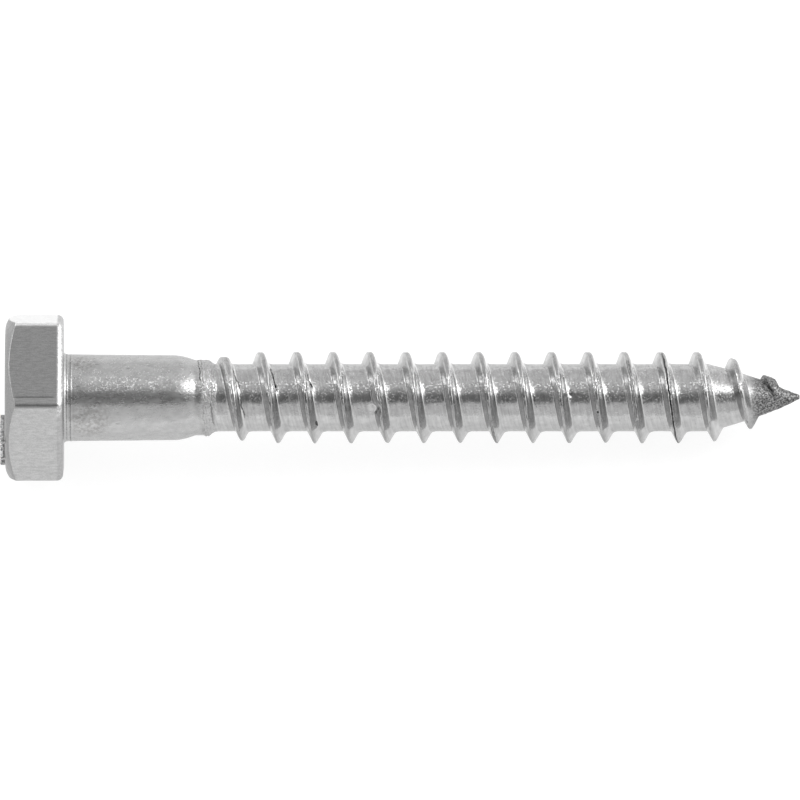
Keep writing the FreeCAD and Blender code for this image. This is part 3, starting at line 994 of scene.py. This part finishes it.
# %% Room
ROOM, WINDOW, SIDES = 0.87, 1.3, 0.28
WINDOW_PLACE, WINDOW_EDGE, WINDOW_FULL = (60, 64), 36, 14
SIDES_FROM, SIDES_FULL = 0.5, 0.82
world = bpy.data.worlds.new("studio")
bpy.context.scene.world = world
world.use_nodes = True
bpy.context.scene.view_settings.view_transform = "Standard"


def direction(right_deg, up_deg):
    """A direction given as degrees right of and above the direction to the camera."""
    a, b = math.radians(right_deg), math.radians(up_deg)
    return right * math.sin(a) + (to_camera * math.cos(b) + up * math.sin(b)) * math.cos(a)


def facing(way, reach):
    """Where something stands that faces the screw from a direction."""
    side = up.cross(way).normalized()
    axes = Matrix((side, way.cross(side), way)).transposed().to_4x4()
    return Matrix.Translation(look_at + way * reach) @ axes


sky, wires = world.node_tree.nodes, world.node_tree.links
sky_way = sky.new("ShaderNodeTexCoord").outputs["Generated"]


def glow_toward(way, start, full, dark, bright, both_ways=False):
    """Light of the room that grows from dark to bright towards a direction, or towards both its ends."""
    dot = sky.new("ShaderNodeVectorMath")
    dot.operation = "DOT_PRODUCT"
    dot.inputs[1].default_value = way
    wires.new(sky_way, dot.inputs[0])
    share = dot.outputs["Value"]
    if both_ways:
        either = sky.new("ShaderNodeMath")
        either.operation = "ABSOLUTE"
        wires.new(share, either.inputs[0])
        share = either.outputs["Value"]
    glow = sky.new("ShaderNodeMapRange")
    glow.interpolation_type = "SMOOTHSTEP"
    limits = {"From Min": start, "From Max": full, "To Min": dark, "To Max": bright}
    for name, value in limits.items():
        glow.inputs[name].default_value = value
    wires.new(share, glow.inputs["Value"])
    return glow.outputs["Result"]


window_glow = glow_toward(
    direction(*WINDOW_PLACE), math.cos(math.radians(WINDOW_EDGE)), math.cos(math.radians(WINDOW_FULL)),
    ROOM, ROOM + WINDOW,
)
side_glow = glow_toward(right, SIDES_FROM, SIDES_FULL, 0, SIDES, both_ways=True)
total = sky.new("ShaderNodeMath")
wires.new(window_glow, total.inputs[0])
wires.new(side_glow, total.inputs[1])
wires.new(total.outputs["Value"], sky["Background"].inputs["Strength"])
sky["Background"].inputs["Color"].default_value = (1, 1, 1, 1)


# %% Soft boxes and dark cards
def soft_box(name, right_deg, up_deg, width_deg, height_deg, radiance, reach=0.5):
    """A soft box that faces the screw and fills a given angle as the screw sees it."""
    light = bpy.data.lights.new(name, "AREA")
    light.shape = "RECTANGLE"
    light.size = 2 * reach * math.tan(math.radians(width_deg / 2))
    light.size_y = 2 * reach * math.tan(math.radians(height_deg / 2))
    light.energy = radiance * light.size * light.size_y * 4
    lamp = bpy.data.objects.new(name, light)
    lamp.matrix_world = facing(direction(right_deg, up_deg), reach)
    lamp.visible_camera = False
    bpy.context.scene.collection.objects.link(lamp)


def dark_card(name, right_deg, up_deg, width_deg, height_deg, radiance, reach=0.6):
    """A dim card behind the camera, seen only in the steel."""
    card_mesh = bpy.data.meshes.new(name)
    cb = bmesh.new()
    bmesh.ops.create_grid(cb, x_segments=1, y_segments=1, size=1)
    spread = Matrix.Diagonal((
        reach * math.tan(math.radians(width_deg / 2)), reach * math.tan(math.radians(height_deg / 2)), 1, 1,
    ))
    place = facing(direction(right_deg, up_deg), reach) @ spread
    bmesh.ops.transform(cb, matrix=place, verts=cb.verts)
    cb.to_mesh(card_mesh)
    cb.free()
    card = bpy.data.objects.new(name, card_mesh)
    card_paint = bpy.data.materials.new(name)
    card_paint.use_nodes = True
    card_shader = card_paint.node_tree.nodes["Principled BSDF"]
    card_shader.inputs["Base Color"].default_value = (0, 0, 0, 1)
    card_shader.inputs["Specular IOR Level"].default_value = 0
    card_shader.inputs["Emission Color"].default_value = (1, 1, 1, 1)
    card_shader.inputs["Emission Strength"].default_value = radiance
    card_mesh.materials.append(card_paint)
    card.visible_camera = False
    bpy.context.scene.collection.objects.link(card)


soft_box("key", 40, 40, 42, 20, 2.5)
soft_box("left_edge_light", -46, 66, 22, 20, 2.3)
GAP_WIDTH, GAP_LOW, GAP_TOP = 90, -18, 8
dark_card("camera_gap", 0, (GAP_LOW + GAP_TOP) / 2, GAP_WIDTH, GAP_TOP - GAP_LOW, 0.20)
EDGE_CARDS, CARD_STEP, FIRST_GREY, GREY_STEP = 5, 6, 0.27, 0.115
for k in range(EDGE_CARDS):
    card_up = GAP_TOP + CARD_STEP * (k + 0.5)
    dark_card(f"gap_edge_{k}", 0, card_up, GAP_WIDTH, CARD_STEP, FIRST_GREY + GREY_STEP * k, reach=0.61)
